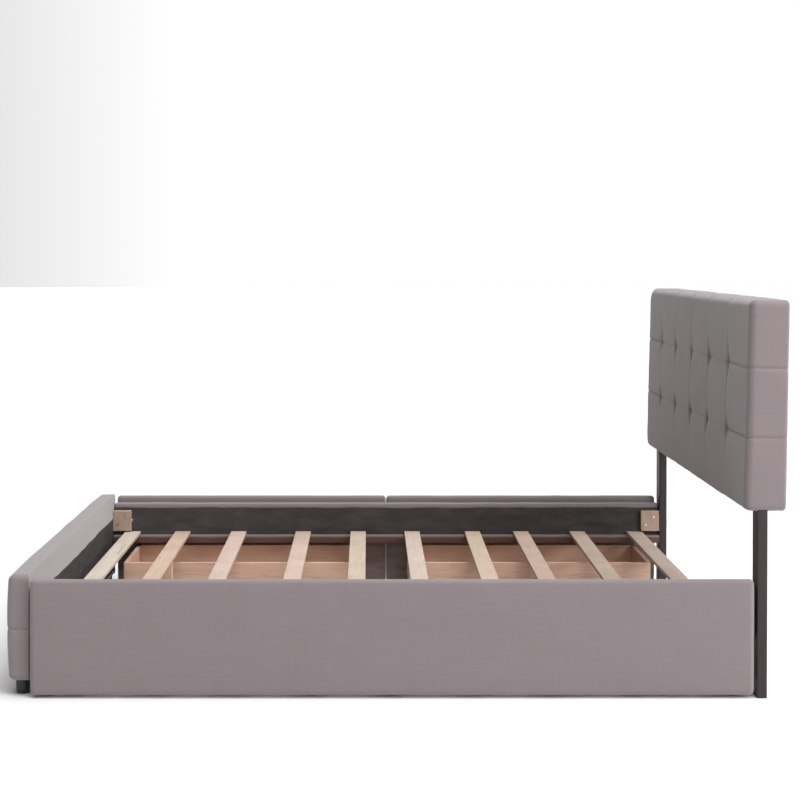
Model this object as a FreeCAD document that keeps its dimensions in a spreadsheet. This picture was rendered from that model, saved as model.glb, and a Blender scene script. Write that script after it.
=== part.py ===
"""Upholstered platform bed: slatted base, a roll-out trundle on the near side, two drawers on the far side.

Frame: millimetres, X along the bed from the foot to the head, Y across it, Z up.
The origin is the centre of the bed's box, on the floor.
"""
import FreeCAD, Part
import os
import re

import Sketcher
from FreeCAD import Placement, Rotation, Vector

DIMENSIONS = {
    "total_length": (2229, "footboard's outer face to the headboard's back"),
    "bed_width": (1656, "over the drawer fronts, and the headboard's width"),
    "footboard_thick": (60, "footboard with its padding"),
    "footboard_width": (1600, "footboard, between the planes of the fronts"),
    "footboard_low": (44, "underside of the footboard"),
    "footboard_top": (348, "top of the footboard"),
    "foot_radius": (21, "round foot, at its top"),
    "foot_inset": (46, "foot's centre from the footboard's end"),
    "foot_taper": (2, "how much smaller the foot's radius is on the floor"),
    "foot_offset": (4, "foot's centre from the middle of the footboard's thickness"),
    "footboard_round": (14, "rounding of the footboard's padding"),
    "footboard_pad": (18, "padding on the footboard's outer face"),
    "footboard_end": (5, "padding over the footboard frame's ends"),
    "footboard_crown": (6, "padding over the footboard frame's top"),
    "footboard_hem": (86, "fabric turned down over the footboard's inner face"),
    "footboard_hem_low": (20, "fabric turned up over the footboard's inner face"),
    "rail_top": (317, "top of the side rails"),
    "rail_low": (168, "underside of the side rails"),
    "rail_thick": (30, "side rail with fabric and lining"),
    "rail_length": (2078, "side rail, footboard to leg"),
    "rail_wadding": (4, "fabric and wadding over the rail board's outer face and top"),
    "rail_hem": (17, "fabric turned down over the rail's inner face"),
    "rail_end": (0.5, "rail board's end inside its cover"),
    "front_thick": (26, "drawer front with fabric and lining"),
    "front_gap": (3, "between a front and the rail behind it"),
    "front_length": (2059, "trundle front, and both drawer fronts with their gap"),
    "front_start": (8.5, "gap between the footboard and the fronts"),
    "front_low": (9, "underside of the fronts"),
    "front_top": (340, "top of the fronts"),
    "front_split": (3, "gap between the two drawer fronts"),
    "skin": (3, "fabric and wadding over an edge"),
    "front_pad": (9, "padding on the outside of a front"),
    "front_round": (8, "rounding of a front's padding"),
    "lining": (2, "black lining cloth with its backing"),
    "cleat_high": (28, "slat ledge, height"),
    "cleat_deep": (28, "slat ledge, depth"),
    "cleat_end": (2, "slat ledge's end to the footboard and to the leg"),
    "slat_low": (198, "underside of the slats"),
    "slat_thick": (12, "slat thickness"),
    "slat_width": (58, "slat width"),
    "slat_gap": (2, "slat's end to the rail"),
    "block_long": (68, "corner block, along the rail"),
    "block_low": (214, "corner block's underside"),
    "block_high": (76, "corner block's height"),
    "block_thick": (22, "corner block's thickness"),
    "block_gap": (2.5, "corner block to the headboard's leg"),
    "post_width": (50, "support post, along the bed"),
    "post_thick": (28, "support post, across the bed"),
    "post_place": (212, "support post's near face from the bed's middle"),
    "leg_thick": (28, "headboard leg, along the bed"),
    "leg_deep": (64, "headboard leg, across the bed"),
    "leg_inset": (8, "leg's outer face from the bed's side"),
    "leg_top": (704, "top of the leg, inside the headboard"),
    "head_low": (532, "underside of the headboard"),
    "head_high": (604, "headboard height"),
    "head_thick": (120, "headboard thickness over the padding"),
    "head_lean": (0.9, "headboard's lean in degrees"),
    "head_side": (6, "padding over the headboard's edges"),
    "head_pad": (27, "padding in front of the headboard's panel"),
    "head_round": (24, "rounding of the headboard's padding"),
    "leg_room": (2, "leg's side to the headboard frame"),
    "slot_front": (30, "front of the leg's slot in the headboard's padding"),
    "slot_back": (87, "back of the leg's slot in the headboard's padding"),
    "leg_block_front": (75, "front of the frame block that the leg is bolted to"),
    "panel_thick": (8, "headboard's plywood panel"),
    "stud_width": (30, "headboard frame member"),
    "back_cover": (2, "headboard's back cloth"),
    "wall": (12, "drawer wall"),
    "bottom_thick": (5, "drawer bottom"),
    "box_low": (44, "underside of drawers and trundle frame"),
    "box_top": (153, "top of the drawer walls"),
    "box_length": (870, "drawer box along the bed"),
    "box_deep": (372, "drawer box across the bed"),
    "trundle_deep": (1005, "trundle frame, front to back"),
    "trundle_rim": (125, "top of the trundle frame"),
    "trundle_wall": (15, "trundle frame board"),
    "trundle_end": (3, "trundle frame's end, inside the end of its front"),
    "bearer_low": (56, "trundle slat bearer's underside"),
    "bearer_high": (20, "trundle slat bearer's height"),
    "wheel_radius": (18, "caster wheel"),
    "wheel_width": (14, "caster wheel"),
    "pin_radius": (3, "caster axle pin"),
    "pin_gap": (0.05, "running clearance round the pin"),
    "fork_long": (40, "caster housing along its travel"),
    "fork_plate": (3, "caster housing's plate and cheeks"),
    "fork_gap": (1, "wheel to cheek"),
    "fork_low": (10, "underside of the caster housing's cheeks"),
    "pin_end": (1, "axle pin's end outside its cheek"),
    "caster_inset": (60, "drawer caster from the end of its box"),
    "trundle_inset": (47.5, "trundle caster from the end of its frame"),
    "caster_row": (40, "caster's axle from the box's front or back"),
    "bolt_radius": (3, "M6 bolt"),
    "bolt_head": (6.5, "M6 bolt head's radius"),
    "bolt_head_high": (4, "M6 bolt head's height"),
    "leg_bolt_long": (58, "leg bolt under its head"),
    "leg_bolt_inset": (16, "leg bolt's head from the bed's last point"),
    "leg_bolt_upper": (40, "upper leg bolt below the leg's top"),
    "leg_bolt_lower": (120, "lower leg bolt below the leg's top"),
    "corner_bolt_long": (96, "corner bolt under its head"),
    "corner_bolt_deep": (6, "corner bolt's axis from the rail's inner face, inside the rail's board"),
    "screw_radius": (2, "wood screw"),
    "screw_head": (4, "wood screw head's radius"),
    "block_screw_long": (40, "corner block screw under its head"),
    "block_screw_head": (1.5, "corner block screw head's height"),
    "slat_screw_long": (32, "slat screw under its head"),
    "slat_screw_sink": (1, "slat screw head's height, sunk flush with the slat"),
}

# Middle of each slat, from the bed's middle, foot to head.
SLAT_PLACES = (-981, -791, -578, -332, -123, 82, 312, 496, 711, 929)
POST_SLATS = (1, 4, 7)
TRUNDLE_SLATS = 9
# Places of a corner block's two screws, as shares of its length and height.
BLOCK_SCREWS = ((0.25, 0.3), (0.7, 0.7))
# How far a cutting tool passes the faces that it opens.
PAST = 1

doc = FreeCAD.newDocument("platform_bed")
sheet = doc.addObject("Spreadsheet::Sheet", "dims")
for row, (alias, (value, meaning)) in enumerate(DIMENSIONS.items(), start=1):
    sheet.set(f"A{row}", meaning)
    sheet.set(f"B{row}", str(value))
    sheet.setAlias(f"B{row}", alias)
doc.recompute()

NAME = re.compile(r"[a-z][a-z_]*")
parts = {}


def bind(thing, path, formula):
    """Ties one property to a formula written in the sheet's aliases."""
    thing.setExpression(path, NAME.sub(r"dims.\g<0>", formula))


def size(span):
    return f"({span[1]}) - ({span[0]})"


def from_low(low, length):
    return (low, f"({low}) + ({length})")


def below(high, length):
    return (f"({high}) - ({length})", high)


def about(middle, length):
    return (f"({middle}) - ({length}) / 2", f"({middle}) + ({length}) / 2")


def place(thing, x, y, z):
    for axis, formula in zip("xyz", (x, y, z)):
        bind(thing, f"Placement.Base.{axis}", formula)


def block(name, x, y, z):
    """A board between two coordinates on each axis."""
    board = doc.addObject("Part::Box", name)
    bind(board, "Length", size(x))
    bind(board, "Width", size(y))
    bind(board, "Height", size(z))
    place(board, x[0], y[0], z[0])
    return board


def padded_block(name, x, y, z, radius, flat):
    """A block with rounded edges, except round its flat face: ("x" or "y", "low" or "high")."""
    body = doc.addObject("PartDesign::Body", name)
    plane = next(item for item in body.Origin.OriginFeatures if item.Role == "XY_Plane")
    sketch = body.newObject("Sketcher::SketchObject", name + "_outline")
    sketch.AttachmentSupport = (plane, "")
    sketch.MapMode = "FlatFace"
    corners = [Vector(0, 0, 0), Vector(50, 0, 0), Vector(50, 40, 0), Vector(0, 40, 0)]
    for index, corner in enumerate(corners):
        sketch.addGeometry(Part.LineSegment(corner, corners[(index + 1) % 4]), False)
    for index in range(4):
        sketch.addConstraint(Sketcher.Constraint("Coincident", index, 2, (index + 1) % 4, 1))
    for index in (0, 2):
        sketch.addConstraint(Sketcher.Constraint("Horizontal", index))
    for index in (1, 3):
        sketch.addConstraint(Sketcher.Constraint("Vertical", index))
    sketch.addConstraint(Sketcher.Constraint("Coincident", 0, 1, -1, 1))
    long_side = sketch.addConstraint(Sketcher.Constraint("DistanceX", 0, 1, 0, 2, 50))
    sketch.renameConstraint(long_side, "along")
    short_side = sketch.addConstraint(Sketcher.Constraint("DistanceY", 1, 1, 1, 2, 40))
    sketch.renameConstraint(short_side, "across")
    bind(sketch, "Constraints.along", size(x))
    bind(sketch, "Constraints.across", size(y))
    pad = body.newObject("PartDesign::Pad", name + "_pad")
    pad.Profile = sketch
    bind(pad, "Length", size(z))
    place(body, x[0], y[0], z[0])
    doc.recompute()

    axis, side = flat
    box = pad.Shape.BoundBox
    level = {"xlow": box.XMin, "xhigh": box.XMax, "ylow": box.YMin, "yhigh": box.YMax}[axis + side]
    rounded = []
    for index, edge in enumerate(pad.Shape.Edges, start=1):
        ends = [getattr(vertex.Point, axis) for vertex in edge.Vertexes]
        if any(abs(end - level) > 0.01 for end in ends):
            rounded.append(f"Edge{index}")
    fillet = body.newObject("PartDesign::Fillet", name + "_rounding")
    fillet.Base = (pad, rounded)
    bind(fillet, "Radius", radius)
    return body


def cut(name, base, tools):
    """The base less each tool in turn."""
    for index, tool in enumerate(tools):
        result = doc.addObject("Part::Cut", f"{name}_cut{index}")
        result.Base = base
        result.Tool = tool
        base = result
    return base


def rod(name, centre, radius, length, direction):
    """A round bar from its start point along X, Y or Z."""
    bar = doc.addObject("Part::Cylinder", name)
    bind(bar, "Radius", radius)
    bind(bar, "Height", length)
    turns = {"x": Rotation(Vector(0, 1, 0), 90), "-x": Rotation(Vector(0, 1, 0), -90),
             "y": Rotation(Vector(1, 0, 0), -90), "-y": Rotation(Vector(1, 0, 0), 90),
             "z": Rotation(), "-z": Rotation(Vector(1, 0, 0), 180)}
    bar.Placement = Placement(Vector(), turns[direction])
    place(bar, *centre)
    return bar


def fastener(name, start, direction, shank, head, length, head_high):
    """A bolt or screw: its head stands out at the start, its shank runs along the direction."""
    back = {"x": "-x", "-x": "x", "y": "-y", "-y": "y", "z": "-z", "-z": "z"}[direction]
    bolt = doc.addObject("Part::Fuse", name)
    bolt.Base = rod(name + "_head", start, head, head_high, back)
    bolt.Tool = rod(name + "_shank", start, shank, length, direction)
    return bolt


def group(name, pieces):
    """Several separate solids kept as one node."""
    set_of_pieces = doc.addObject("Part::Compound", name + "_set")
    set_of_pieces.Links = pieces
    return keep(name, set_of_pieces)


def keep(name, thing):
    thing.Label = name
    parts[name] = thing
    return thing


# Planes that several pieces share.
FOOT_OUT = "-total_length / 2"
FOOT_IN = "-total_length / 2 + footboard_thick"
LEG_FACE = f"{FOOT_IN} + rail_length"
FRONT_FOOT = f"{FOOT_IN} + front_start"
FRONT_HEAD = f"{FRONT_FOOT} + front_length"
FRONT_MID = f"{FRONT_FOOT} + front_length / 2"
HALF = "bed_width / 2"
FRONT_BACK = "(bed_width / 2 - front_thick)"
RAIL_OUT = "(bed_width / 2 - front_thick - front_gap)"
RAIL_IN = "(bed_width / 2 - front_thick - front_gap - rail_thick)"


def mirrored(side, low, high):
    """A span measured outwards from the bed's middle, on the near (-1) or far (+1) side."""
    if side > 0:
        return (low, high)
    return (f"-({high})", f"-({low})")


# ---------------------------------------------------------------- headboard
def leaning(name, thing):
    """Stands a headboard piece, drawn upright from its own corner, at the bed's head with its lean."""
    stand = doc.addObject("Part::Compound", name + "_leaning")
    stand.Links = [thing]
    stand.Placement = Placement(Vector(), Rotation(Vector(0, 1, 0), 1))
    bind(stand, "Placement.Rotation.Angle", "head_lean")
    # The back's upper edge is the bed's last point, so the lean moves the foot of the headboard forwards.
    lean = "dims.head_lean * 1 deg"
    stand.setExpression("Placement.Base.x", f"dims.total_length / 2 - dims.head_thick * cos({lean})"
                                            f" - dims.head_high * sin({lean})")
    stand.setExpression("Placement.Base.z", "dims.head_low + dims.head_thick * sin(dims.head_lean * 1 deg)")
    return keep(name, stand)


def headboard():
    wide = ("-bed_width / 2", HALF)
    inside = ("-bed_width / 2 + head_side", f"{HALF} - head_side")
    panel = ("head_pad", "head_pad + panel_thick")
    frame = ("head_pad + panel_thick", "head_thick - back_cover")
    frame_tall = ("head_side", "head_high - head_side")

    cover = padded_block("head_cover_form", ("0", "head_thick"), wide, ("0", "head_high"), "head_round",
                         ("x", "high"))
    hollow = block("head_cover_hollow", ("head_pad", f"head_thick + {PAST}"), inside, frame_tall)
    leg_inner = f"{HALF} - leg_inset - leg_deep - leg_room"
    slots = [block(f"head_leg_slot_{side}", ("slot_front", "slot_back"),
                   mirrored(side, leg_inner, f"{HALF} - head_side"), (f"-{PAST}", f"head_side + {PAST}"))
             for side in (-1, 1)]
    leaning("headboard_cover", cut("head_cover", cover, [hollow] + slots))
    leaning("headboard_panel", block("head_panel", panel, inside, frame_tall))

    members = [block("head_top_rail", frame, inside, below("head_high - head_side", "stud_width")),
               block("head_low_rail", frame, (f"-({leg_inner} - stud_width)", f"{leg_inner} - stud_width"),
                     from_low("head_side", "stud_width"))]
    upright = ("head_side + stud_width", "head_high - head_side - stud_width")
    for index in (-1, 0, 1):
        middle = f"{index} * bed_width / 5"
        members.append(block(f"head_stud_{index}", frame, about(middle, "stud_width"), upright))
    for side in (-1, 1):
        stud = mirrored(side, f"{leg_inner} - stud_width", leg_inner)
        members.append(block(f"head_side_stud_{side}", frame, stud,
                             ("head_side", "head_high - head_side - stud_width")))
        members.append(block(f"head_leg_block_{side}", ("leg_block_front", "head_thick - back_cover"),
                             mirrored(side, leg_inner, f"{HALF} - head_side"),
                             ("head_side", "head_high - head_side - stud_width")))
    frame_set = doc.addObject("Part::Compound", "head_frame")
    frame_set.Links = members
    leaning("headboard_frame", frame_set)

    cloth = block("head_back_cloth", ("head_thick - back_cover", "head_thick"), inside, frame_tall)
    leaning("headboard_back_cover", cloth)

    for name, side in (("headboard_leg_near", -1), ("headboard_leg_far", 1)):
        leg = block(name, from_low(LEG_FACE, "leg_thick"),
                    mirrored(side, f"{HALF} - leg_inset - leg_deep", f"{HALF} - leg_inset"), ("0", "leg_top"))
        keep(name, leg)

    bolts = []
    for side in (-1, 1):
        across = f"{side} * (bed_width / 2 - leg_inset - leg_deep / 2)"
        for index, height in enumerate(("leg_top - leg_bolt_upper", "leg_top - leg_bolt_lower")):
            start = ("total_length / 2 - leg_bolt_inset", across, height)
            bolts.append(fastener(f"leg_bolt_{side}_{index}", start, "-x", "bolt_radius", "bolt_head",
                                  "leg_bolt_long", "bolt_head_high"))
    return bolts


# ---------------------------------------------------------------- footboard
def footboard():
    wide = ("-footboard_width / 2", "footboard_width / 2")
    tall = ("footboard_low", "footboard_top")
    cover = padded_block("foot_cover_form", (FOOT_OUT, FOOT_IN), wide, tall, "footboard_round", ("x", "high"))
    core = (f"{FOOT_OUT} + footboard_pad", f"{FOOT_IN} - lining")
    core_wide = ("-footboard_width / 2 + footboard_end", "footboard_width / 2 - footboard_end")
    core_tall = ("footboard_low + skin", "footboard_top - footboard_crown")
    hollow = block("foot_cover_hollow", core, core_wide, core_tall)
    window_tall = ("footboard_low + footboard_hem_low", "footboard_top - footboard_hem")
    window_deep = (f"{FOOT_IN} - lining - {PAST}", f"{FOOT_IN} + {PAST}")
    window = block("foot_cover_window", window_deep, core_wide, window_tall)
    keep("footboard_cover", cut("footboard_cover", cover, [hollow, window]))
    keep("footboard_frame", block("footboard_frame", core, core_wide, core_tall))
    keep("footboard_lining", block("footboard_lining", below(FOOT_IN, "lining"), core_wide, window_tall))

    feet = []
    for side in (-1, 1):
        foot = doc.addObject("Part::Cone", f"foot_{side}")
        bind(foot, "Radius1", "foot_radius - foot_taper")
        bind(foot, "Radius2", "foot_radius")
        bind(foot, "Height", "footboard_low")
        across = f"{side} * (footboard_width / 2 - foot_inset)"
        place(foot, f"{FOOT_IN} - footboard_thick / 2 + foot_offset", across, "0")
        feet.append(foot)
    group("feet", feet)


# ---------------------------------------------------------------- rails, ledges, blocks
def side_rails():
    along = (FOOT_IN, LEG_FACE)
    covers = []
    linings = []
    cleats = []
    for name, side in (("near", -1), ("far", 1)):
        flat = ("y", "high" if side < 0 else "low")
        cover = padded_block(f"rail_form_{name}", along, mirrored(side, RAIL_IN, RAIL_OUT),
                             ("rail_low", "rail_top"), "skin", flat)
        board_across = mirrored(side, f"{RAIL_IN} + lining", f"{RAIL_OUT} - rail_wadding")
        board_tall = ("rail_low + skin", "rail_top - rail_wadding")
        board_along = (f"{FOOT_IN} + rail_end", f"{LEG_FACE} - rail_end")
        opened = (f"{FOOT_IN} - {PAST}", f"{LEG_FACE} + {PAST}")
        board = block(f"rail_board_{name}", board_along, board_across, board_tall)
        keep(f"rail_board_{name}", board)
        hollow = block(f"rail_hollow_{name}", opened, board_across, board_tall)
        inner = mirrored(side, f"{RAIL_IN} - {PAST}", f"{RAIL_IN} + lining")
        window = block(f"rail_window_{name}", opened, inner, (f"rail_low - {PAST}", "rail_top - rail_hem"))
        covers.append(cut(f"rail_cover_{name}", cover, [hollow, window]))
        linings.append(block(f"rail_lining_{name}", board_along, mirrored(side, RAIL_IN, f"{RAIL_IN} + lining"),
                             ("rail_low", "rail_top - rail_hem")))
        cleat_across = mirrored(side, f"{RAIL_IN} - cleat_deep", RAIL_IN)
        cleats.append(block(f"cleat_{name}", (f"{FOOT_IN} + cleat_end", f"{LEG_FACE} - cleat_end"),
                            cleat_across, below("slat_low", "cleat_high")))
    group("rail_covers", covers)
    group("rail_linings", linings)
    group("slat_cleats", cleats)


def corner_joints():
    """Corner blocks on the rails, the screws that hold them, and one bolt through each into foot or leg."""
    blocks = []
    screws = []
    bolts = []
    ends = (("foot", from_low(FOOT_IN, "block_long"), f"{FOOT_IN} + block_long"),
            ("head", below(f"{LEG_FACE} - block_gap", "block_long"), f"{LEG_FACE} + leg_thick"))
    for side in (-1, 1):
        inward = "y" if side > 0 else "-y"
        for name, along, bolt_start in ends:
            tall = from_low("block_low", "block_high")
            across = mirrored(side, f"{RAIL_IN} - block_thick", RAIL_IN)
            blocks.append(block(f"corner_block_{name}_{side}", along, across, tall))
            for index, (share, rise) in enumerate(BLOCK_SCREWS):
                start = (f"({along[0]}) + {share} * block_long", f"{side} * ({RAIL_IN} - block_thick)",
                         f"block_low + {rise} * block_high")
                screws.append(fastener(f"block_screw_{name}_{side}_{index}", start, inward,
                                       "screw_radius", "screw_head", "block_screw_long", "block_screw_head"))
            start = (bolt_start, f"{side} * ({RAIL_IN} - corner_bolt_deep)", "block_low + block_high / 2")
            bolts.append(fastener(f"corner_bolt_{name}_{side}", start, "-x", "bolt_radius", "bolt_head",
                                  "corner_bolt_long", "bolt_head_high"))
    group("corner_blocks", blocks)
    return screws, bolts


def slats_and_posts():
    screws = []
    posts = []
    ends = (f"-{RAIL_IN} + slat_gap", f"{RAIL_IN} - slat_gap")
    for index, middle in enumerate(SLAT_PLACES):
        name = f"slat_{index + 1:02d}"
        keep(name, block(name, about(middle, "slat_width"), ends, from_low("slat_low", "slat_thick")))
        for side in (-1, 1):
            start = (str(middle), f"{side} * ({RAIL_IN} - cleat_deep / 2)",
                     "slat_low + slat_thick - slat_screw_sink")
            screws.append(fastener(f"slat_screw_{index}_{side}", start, "-z", "screw_radius", "screw_head",
                                   "slat_screw_long", "slat_screw_sink"))
        if index in POST_SLATS:
            post_across = from_low("post_place", "post_thick")
            posts.append(block(f"post_{index}", about(middle, "post_width"), post_across, ("0", "slat_low")))
    group("support_posts", posts)
    return screws


# ---------------------------------------------------------------- fronts, drawers, trundle
def padded_front(prefix, along, side):
    """An upholstered front: board, padded cover open at its back, and the lining that closes it."""
    across = mirrored(side, FRONT_BACK, HALF)
    tall = ("front_low", "front_top")
    flat = ("y", "high" if side < 0 else "low")
    form = padded_block(f"{prefix}_form", along, across, tall, "front_round", flat)
    board_along = (f"({along[0]}) + skin", f"({along[1]}) - skin")
    board_tall = ("front_low + skin", "front_top - skin")
    board_across = mirrored(side, f"{FRONT_BACK} + lining", f"{HALF} - front_pad")
    keep(f"{prefix}_front_board", block(f"{prefix}_front_board", board_along, board_across, board_tall))
    hollow_across = mirrored(side, f"{FRONT_BACK} - {PAST}", f"{HALF} - front_pad")
    hollow = block(f"{prefix}_front_hollow", board_along, hollow_across, board_tall)
    keep(f"{prefix}_front_cover", cut(f"{prefix}_front_cover", form, [hollow]))
    lining = block(f"{prefix}_front_lining", board_along, mirrored(side, FRONT_BACK, f"{FRONT_BACK} + lining"),
                   board_tall)
    keep(f"{prefix}_front_lining", lining)


def caster_housing(name, middle, across):
    """An upside-down channel with a plate on top and a pin between its cheeks."""
    cheek_out = "wheel_width / 2 + fork_gap + fork_plate"
    cheek_in = "wheel_width / 2 + fork_gap"
    outer = block(f"{name}_outer", (f"({middle}) - ({cheek_out})", f"({middle}) + ({cheek_out})"),
                  (f"({across}) - fork_long / 2", f"({across}) + fork_long / 2"),
                  ("fork_low", "box_low"))
    inner = block(f"{name}_inner", (f"({middle}) - ({cheek_in})", f"({middle}) + ({cheek_in})"),
                  (f"({across}) - fork_long", f"({across}) + fork_long"), ("0", "box_low - fork_plate"))
    channel = cut(f"{name}_channel", outer, [inner])
    pin_start = (f"({middle}) - ({cheek_out}) - pin_end", across, "wheel_radius")
    pin = rod(f"{name}_pin", pin_start, "pin_radius", f"2 * ({cheek_out}) + 2 * pin_end", "x")
    housing = doc.addObject("Part::Fuse", name)
    housing.Base = channel
    housing.Tool = pin
    return housing


def wheel(name, middle, across):
    """A plain disc wheel with its bore."""
    disc = rod(f"{name}_disc", (f"({middle}) - wheel_width / 2", across, "wheel_radius"), "wheel_radius",
               "wheel_width", "x")
    bore = rod(f"{name}_bore", (f"({middle}) - wheel_width", across, "wheel_radius"), "pin_radius + pin_gap",
               "2 * wheel_width", "x")
    return cut(name, disc, [bore])


def casters(prefix, middles, rows):
    """Housings for every caster, and one node of wheels for each line of casters that shares an axis."""
    housings = []
    for row_name, across in rows:
        wheels = []
        for index, middle in enumerate(middles):
            name = f"{prefix}_{row_name}_{index}"
            housings.append(caster_housing(f"{name}_housing", middle, across))
            wheels.append(wheel(f"{name}_wheel", middle, across))
        group(f"{prefix}_wheels_{row_name}", wheels)
    group(f"{prefix}_caster_housings", housings)


def drawer(prefix, along):
    """A wooden box behind an upholstered front, on four casters, pulled out towards +Y."""
    padded_front(prefix, along, 1)
    middle = f"(({along[0]}) + ({along[1]})) / 2"
    box_along = (f"{middle} - box_length / 2", f"{middle} + box_length / 2")
    back = f"{FRONT_BACK} - box_deep"
    tall = ("box_low", "box_top")
    keep(f"{prefix}_box_front", block(f"{prefix}_box_front", box_along, below(FRONT_BACK, "wall"), tall))
    keep(f"{prefix}_box_back", block(f"{prefix}_box_back", box_along, from_low(back, "wall"), tall))
    sides = []
    side_across = (f"{back} + wall", f"{FRONT_BACK} - wall")
    for index, side_along in enumerate((from_low(box_along[0], "wall"), below(box_along[1], "wall"))):
        sides.append(block(f"{prefix}_side_{index}", side_along, side_across, tall))
    group(f"{prefix}_box_sides", sides)
    bottom_along = (f"{box_along[0]} + wall", f"{box_along[1]} - wall")
    keep(f"{prefix}_box_bottom", block(f"{prefix}_box_bottom", bottom_along, side_across,
                                       from_low("box_low", "bottom_thick")))
    middles = (f"{box_along[0]} + caster_inset", f"{box_along[1]} - caster_inset")
    casters(prefix, middles, (("inner", f"{back} + caster_row"), ("outer", f"{FRONT_BACK} - caster_row")))


def trundle():
    """A low bed frame behind a full-length front, on six casters, pulled out towards -Y."""
    padded_front("trundle", (FRONT_FOOT, FRONT_HEAD), -1)
    along = (f"{FRONT_FOOT} + trundle_end", f"{FRONT_HEAD} - trundle_end")
    near = f"-{FRONT_BACK}"
    far = f"-{FRONT_BACK} + trundle_deep"
    tall = ("box_low", "trundle_rim")
    back_across = below(far, "trundle_wall")
    keep("trundle_frame_back", block("trundle_frame_back", along, back_across, tall))
    ends = []
    for index, end_along in enumerate((from_low(along[0], "trundle_wall"), below(along[1], "trundle_wall"))):
        ends.append(block(f"trundle_end_{index}", end_along, (near, back_across[0]), tall))
    group("trundle_frame_ends", ends)
    inner = (f"{along[0]} + trundle_wall", f"{along[1]} - trundle_wall")
    bearer_tall = from_low("bearer_low", "bearer_high")
    centre = f"(({near}) + ({far})) / 2"
    bearers = [block("trundle_bearer_front", inner, from_low(near, "bearer_high"), bearer_tall),
               block("trundle_bearer_middle", inner, about(centre, "bearer_high"), bearer_tall),
               block("trundle_bearer_back", inner, below(back_across[0], "bearer_high"), bearer_tall)]
    group("trundle_bearers", bearers)
    slats = []
    for index in range(TRUNDLE_SLATS):
        share = (index + 0.5) / TRUNDLE_SLATS
        middle = f"({inner[0]}) + {share} * (front_length - 2 * trundle_end - 2 * trundle_wall)"
        slats.append(block(f"trundle_slat_{index}", about(middle, "slat_width"), (near, back_across[0]),
                           from_low("bearer_low + bearer_high", "slat_thick")))
    group("trundle_slats", slats)
    middles = (f"{along[0]} + trundle_inset", FRONT_MID, f"{along[1]} - trundle_inset")
    casters("trundle", middles, (("outer", f"{near} + caster_row"), ("inner", f"{far} - caster_row")))


leg_bolts = headboard()
footboard()
side_rails()
block_screws, corner_bolts = corner_joints()
slat_screws = slats_and_posts()
group("frame_bolts", leg_bolts + corner_bolts)
group("frame_screws", block_screws + slat_screws)
drawer("drawer_left", (FRONT_FOOT, f"{FRONT_MID} - front_split / 2"))
drawer("drawer_right", (f"{FRONT_MID} + front_split / 2", FRONT_HEAD))
trundle()
doc.recompute()

for thing in doc.Objects:
    if "Invalid" in thing.State or "Error" in thing.State:
        raise SystemExit(f"{thing.Name} failed: {thing.State}")
os.makedirs("parts", exist_ok=True)
for name, thing in parts.items():
    if thing.Shape.isNull() or not thing.Shape.isValid():
        raise SystemExit(f"{name} has no valid shape")
    thing.Shape.exportStep(f"parts/{name}.step")
print(len(parts), "sub-parts written")
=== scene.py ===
import math

import bmesh
import bpy
import numpy as np
from mathutils import Matrix, Vector, noise


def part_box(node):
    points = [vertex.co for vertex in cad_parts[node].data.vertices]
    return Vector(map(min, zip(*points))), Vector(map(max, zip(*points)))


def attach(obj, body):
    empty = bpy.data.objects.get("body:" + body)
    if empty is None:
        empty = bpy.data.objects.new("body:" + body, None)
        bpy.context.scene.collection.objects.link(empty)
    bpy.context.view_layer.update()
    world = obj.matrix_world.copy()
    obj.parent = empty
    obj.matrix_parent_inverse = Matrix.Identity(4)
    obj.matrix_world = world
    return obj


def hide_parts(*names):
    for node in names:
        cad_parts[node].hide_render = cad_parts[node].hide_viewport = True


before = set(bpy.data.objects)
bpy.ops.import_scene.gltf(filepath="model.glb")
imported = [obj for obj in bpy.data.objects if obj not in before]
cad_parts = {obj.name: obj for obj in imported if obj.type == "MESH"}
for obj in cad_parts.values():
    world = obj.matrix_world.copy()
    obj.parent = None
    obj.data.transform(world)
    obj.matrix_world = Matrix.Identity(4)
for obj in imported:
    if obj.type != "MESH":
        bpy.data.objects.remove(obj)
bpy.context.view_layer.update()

ROOT = "bed_frame"
MM = 0.001


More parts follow.
